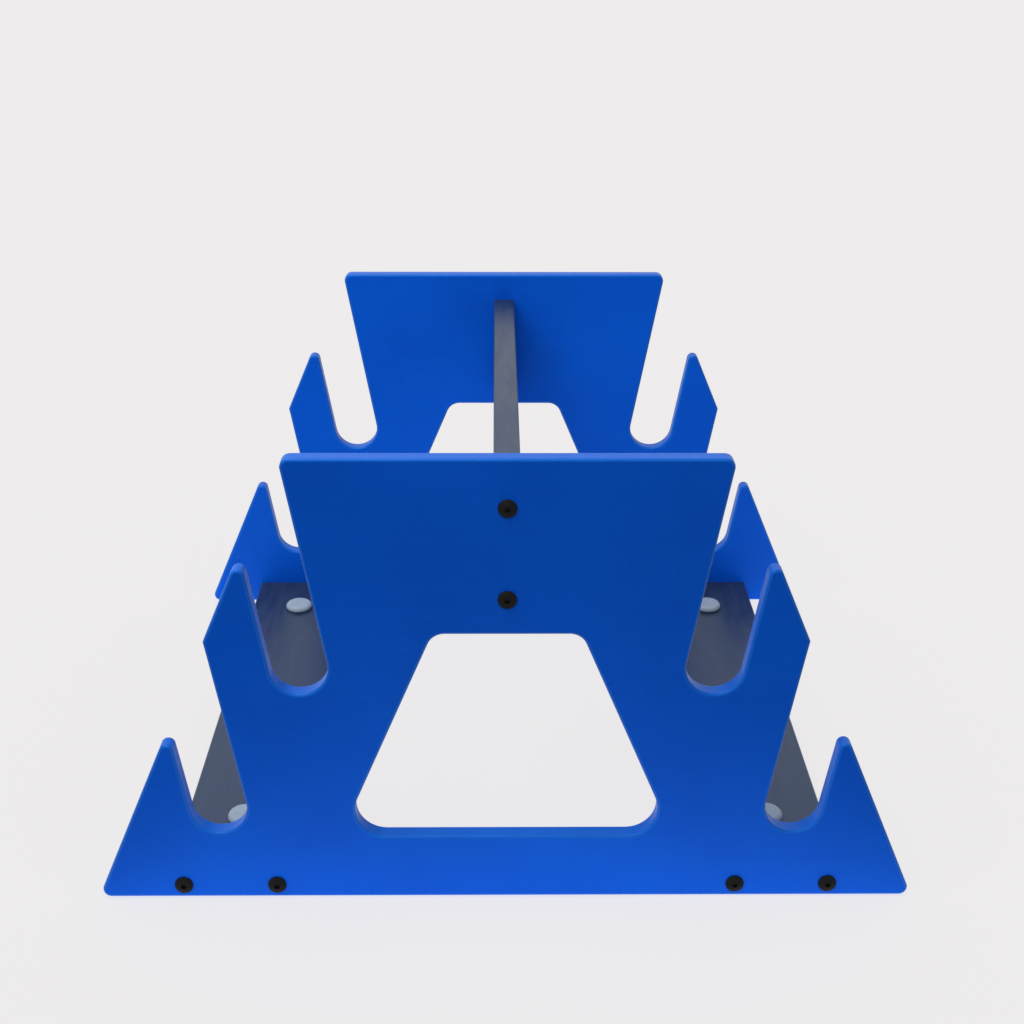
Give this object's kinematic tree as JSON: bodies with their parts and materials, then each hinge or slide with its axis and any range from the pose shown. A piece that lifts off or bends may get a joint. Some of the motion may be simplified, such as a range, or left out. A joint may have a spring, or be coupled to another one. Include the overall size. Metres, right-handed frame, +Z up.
{
  "type": "ski rack stand",
  "caption": "Free-standing ski rack: slotted trapezoid side panels screwed to flat boards, standing on rubber feet, for skis laid across the slots.",
  "frame": {"origin": "on the floor, in the middle of the rack", "axes": "+X across the panels to the right as seen from the front, +Y from the front panel to the back panel, +Z up"},
  "size_m": [0.584, 0.4882, 0.3427],
  "materials": {
    "panel_plastic": "blue polyethylene sheet with a fine moulded grain",
    "board_plastic": "charcoal polyethylene board with a fine grain",
    "screw_steel": "black coated steel",
    "foot_rubber": "light grey moulded rubber"
  },
  "bodies": {
    "root": {"front_panel": "panel_plastic", "back_panel": "panel_plastic", "top_board": "board_plastic", "left_base_board": "board_plastic", "right_base_board": "board_plastic", "front_top_upper_screw": "screw_steel", "front_top_lower_screw": "screw_steel", "front_left_outer_screw": "screw_steel", "front_left_inner_screw": "screw_steel", "front_right_inner_screw": "screw_steel", "front_right_outer_screw": "screw_steel", "back_top_upper_screw": "screw_steel", "back_top_lower_screw": "screw_steel", "back_left_outer_screw": "screw_steel", "back_left_inner_screw": "screw_steel", "back_right_inner_screw": "screw_steel", "back_right_outer_screw": "screw_steel", "front_left_foot": "foot_rubber", "front_right_foot": "foot_rubber", "back_left_foot": "foot_rubber", "back_right_foot": "foot_rubber"}
  },
  "joints": []
}
